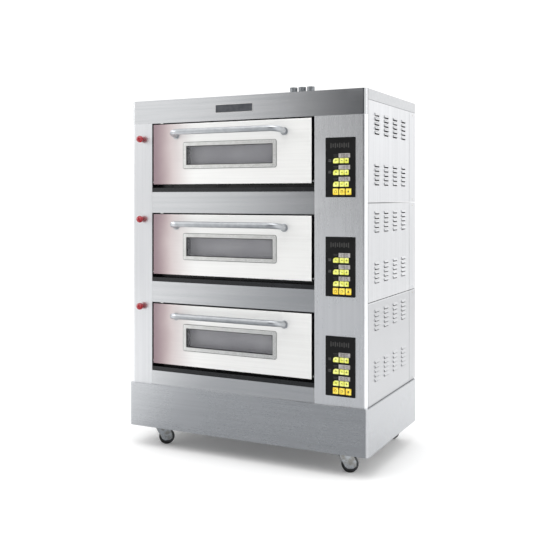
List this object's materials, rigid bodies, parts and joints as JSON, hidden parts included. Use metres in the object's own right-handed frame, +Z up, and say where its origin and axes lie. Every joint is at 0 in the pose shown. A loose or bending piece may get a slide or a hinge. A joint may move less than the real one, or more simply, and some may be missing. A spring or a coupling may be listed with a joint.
{
  "type": "deck oven",
  "caption": "Free-standing stainless bakery deck oven with stacked chambers, drop-down glazed doors, damper knobs, control panels, exhaust pipes and swivel castors.",
  "frame": {"origin": "on the floor, under the middle of the oven's overall box", "axes": "+Z up, -Y out of the doors, +X to the right as the baker sees it"},
  "size_m": [1.24, 0.8174, 1.798],
  "materials": {
    "polished_stainless": "polished sheet, bright",
    "brushed_stainless": "satin sheet with a fine vertical grain",
    "satin_handle": "satin tube",
    "chamber_steel": "aluminised sheet",
    "hearth_steel": "mill-finish plate",
    "element_sheath": "heat-darkened tube",
    "zinc_steel": "bright zinc plating",
    "black_enamel": "gloss heat-proof enamel",
    "oven_glass": "tempered, grey tint",
    "damper_knob": "red moulded ball on a steel rod",
    "panel_plastic": "black moulded fascia",
    "black_plastic": "matte",
    "display_lens": "smoked display window",
    "key_film": "yellow-green lit film",
    "amber_button": "amber lit cap",
    "castor_rubber": "black moulded tread",
    "seal_silicone": "woven and silicone seal",
    "mineral_wool": "slab, matte"
  },
  "bodies": {
    "cabinet": {"back_panels": "brushed_stainless", "cable_gland": "black_plastic", "castor_rails": "zinc_steel", "chamber_1": "chamber_steel", "chamber_2": "chamber_steel", "chamber_3": "chamber_steel", "control_column": "brushed_stainless", "control_panels": "panel_plastic", "deck_rails": "brushed_stainless", "deck_shelves": "zinc_steel", "display_windows": "display_lens", "exhaust_pipes": "chamber_steel", "front_canopy": "brushed_stainless", "hearth_plates": "hearth_steel", "heating_elements": "element_sheath", "hinge_pins": "zinc_steel", "insulation": "mineral_wool", "left_column": "brushed_stainless", "membrane_keys": "key_film", "mouth_frames": "black_enamel", "mouth_gaskets": "seal_silicone", "panel_screws": "zinc_steel", "plinth_skirt": "brushed_stainless", "side_panels": "brushed_stainless", "top_lid": "brushed_stainless"},
    "door_1": {"door_skin_1": "polished_stainless", "door_liner_1": "black_enamel", "window_trim_1": "polished_stainless", "window_glass_1": "oven_glass", "door_handle_1": "satin_handle"},
    "damper_1_pull": {"damper_1": "damper_knob"},
    "power_button_1_cap": {"power_button_1": "amber_button"},
    "timer_button_1_cap": {"timer_button_1": "amber_button"},
    "alarm_button_1_cap": {"alarm_button_1": "amber_button"},
    "door_2": {"door_skin_2": "polished_stainless", "door_liner_2": "black_enamel", "window_trim_2": "polished_stainless", "window_glass_2": "oven_glass", "door_handle_2": "satin_handle"},
    "damper_2_pull": {"damper_2": "damper_knob"},
    "power_button_2_cap": {"power_button_2": "amber_button"},
    "timer_button_2_cap": {"timer_button_2": "amber_button"},
    "alarm_button_2_cap": {"alarm_button_2": "amber_button"},
    "door_3": {"door_skin_3": "polished_stainless", "door_liner_3": "black_enamel", "window_trim_3": "polished_stainless", "window_glass_3": "oven_glass", "door_handle_3": "satin_handle"},
    "damper_3_pull": {"damper_3": "damper_knob"},
    "power_button_3_cap": {"power_button_3": "amber_button"},
    "timer_button_3_cap": {"timer_button_3": "amber_button"},
    "alarm_button_3_cap": {"alarm_button_3": "amber_button"},
    "castor_front_left": {"castor_fork_front_left": "zinc_steel"},
    "wheel_front_left": {"castor_wheel_front_left": "castor_rubber"},
    "castor_front_right": {"castor_fork_front_right": "zinc_steel"},
    "wheel_front_right": {"castor_wheel_front_right": "castor_rubber"},
    "castor_rear_left": {"castor_fork_rear_left": "zinc_steel"},
    "wheel_rear_left": {"castor_wheel_rear_left": "castor_rubber"},
    "castor_rear_right": {"castor_fork_rear_right": "zinc_steel"},
    "wheel_rear_right": {"castor_wheel_rear_right": "castor_rubber"}
  },
  "joints": [
    {"name": "door_1_hinge", "type": "hinge", "parent": "cabinet", "child": "door_1", "pos_m": [-0.062, -0.31725, 1.285], "axis": [1, 0, 0], "range_deg": [0, 90]},
    {"name": "damper_1_slide", "type": "slide", "parent": "cabinet", "child": "damper_1_pull", "axis": [0, -1, 0], "range_m": [0, 0.04]},
    {"name": "power_button_1_press", "type": "slide", "parent": "cabinet", "child": "power_button_1_cap", "axis": [0, 1, 0], "range_m": [0, 0.0015], "stiffness_N_per_m": 1200, "springref_m": -0.0008},
    {"name": "timer_button_1_press", "type": "slide", "parent": "cabinet", "child": "timer_button_1_cap", "axis": [0, 1, 0], "range_m": [0, 0.0015], "stiffness_N_per_m": 1200, "springref_m": -0.0008},
    {"name": "alarm_button_1_press", "type": "slide", "parent": "cabinet", "child": "alarm_button_1_cap", "axis": [0, 1, 0], "range_m": [0, 0.0015], "stiffness_N_per_m": 1200, "springref_m": -0.0008},
    {"name": "door_2_hinge", "type": "hinge", "parent": "cabinet", "child": "door_2", "pos_m": [-0.062, -0.31725, 0.853], "axis": [1, 0, 0], "range_deg": [0, 90]},
    {"name": "damper_2_slide", "type": "slide", "parent": "cabinet", "child": "damper_2_pull", "axis": [0, -1, 0], "range_m": [0, 0.04]},
    {"name": "power_button_2_press", "type": "slide", "parent": "cabinet", "child": "power_button_2_cap", "axis": [0, 1, 0], "range_m": [0, 0.0015], "stiffness_N_per_m": 1200, "springref_m": -0.0008},
    {"name": "timer_button_2_press", "type": "slide", "parent": "cabinet", "child": "timer_button_2_cap", "axis": [0, 1, 0], "range_m": [0, 0.0015], "stiffness_N_per_m": 1200, "springref_m": -0.0008},
    {"name": "alarm_button_2_press", "type": "slide", "parent": "cabinet", "child": "alarm_button_2_cap", "axis": [0, 1, 0], "range_m": [0, 0.0015], "stiffness_N_per_m": 1200, "springref_m": -0.0008},
    {"name": "door_3_hinge", "type": "hinge", "parent": "cabinet", "child": "door_3", "pos_m": [-0.062, -0.31725, 0.421], "axis": [1, 0, 0], "range_deg": [0, 90]},
    {"name": "damper_3_slide", "type": "slide", "parent": "cabinet", "child": "damper_3_pull", "axis": [0, -1, 0], "range_m": [0, 0.04]},
    {"name": "power_button_3_press", "type": "slide", "parent": "cabinet", "child": "power_button_3_cap", "axis": [0, 1, 0], "range_m": [0, 0.0015], "stiffness_N_per_m": 1200, "springref_m": -0.0008},
    {"name": "timer_button_3_press", "type": "slide", "parent": "cabinet", "child": "timer_button_3_cap", "axis": [0, 1, 0], "range_m": [0, 0.0015], "stiffness_N_per_m": 1200, "springref_m": -0.0008},
    {"name": "alarm_button_3_press", "type": "slide", "parent": "cabinet", "child": "alarm_button_3_cap", "axis": [0, 1, 0], "range_m": [0, 0.0015], "stiffness_N_per_m": 1200, "springref_m": -0.0008},
    {"name": "castor_front_left_swivel", "type": "hinge", "parent": "cabinet", "child": "castor_front_left", "pos_m": [-0.482, -0.25925, 0.0947], "axis": [0, 0, 1], "continuous": true},
    {"name": "wheel_front_left_spin", "type": "hinge", "parent": "castor_front_left", "child": "wheel_front_left", "pos_m": [-0.46268, -0.24185, 0.0375], "axis": [0.6691, -0.7431, 0], "continuous": true},
    {"name": "castor_front_right_swivel", "type": "hinge", "parent": "cabinet", "child": "castor_front_right", "pos_m": [0.482, -0.25925, 0.0947], "axis": [0, 0, 1], "continuous": true},
    {"name": "wheel_front_right_spin", "type": "hinge", "parent": "castor_front_right", "child": "wheel_front_right", "pos_m": [0.50355, -0.24471, 0.0375], "axis": [0.5592, -0.829, 0], "continuous": true},
    {"name": "castor_rear_left_swivel", "type": "hinge", "parent": "cabinet", "child": "castor_rear_left", "pos_m": [-0.482, 0.31475, 0.0947], "axis": [0, 0, 1], "continuous": true},
    {"name": "wheel_rear_left_spin", "type": "hinge", "parent": "castor_rear_left", "child": "wheel_rear_left", "pos_m": [-0.46599, 0.33524, 0.0375], "axis": [0.788, -0.6157, 0], "continuous": true},
    {"name": "castor_rear_right_swivel", "type": "hinge", "parent": "cabinet", "child": "castor_rear_right", "pos_m": [0.482, 0.31475, 0.0947], "axis": [0, 0, 1], "continuous": true},
    {"name": "wheel_rear_right_spin", "type": "hinge", "parent": "castor_rear_right", "child": "wheel_rear_right", "pos_m": [0.50556, 0.32574, 0.0375], "axis": [0.4226, -0.9063, 0], "continuous": true}
  ]
}
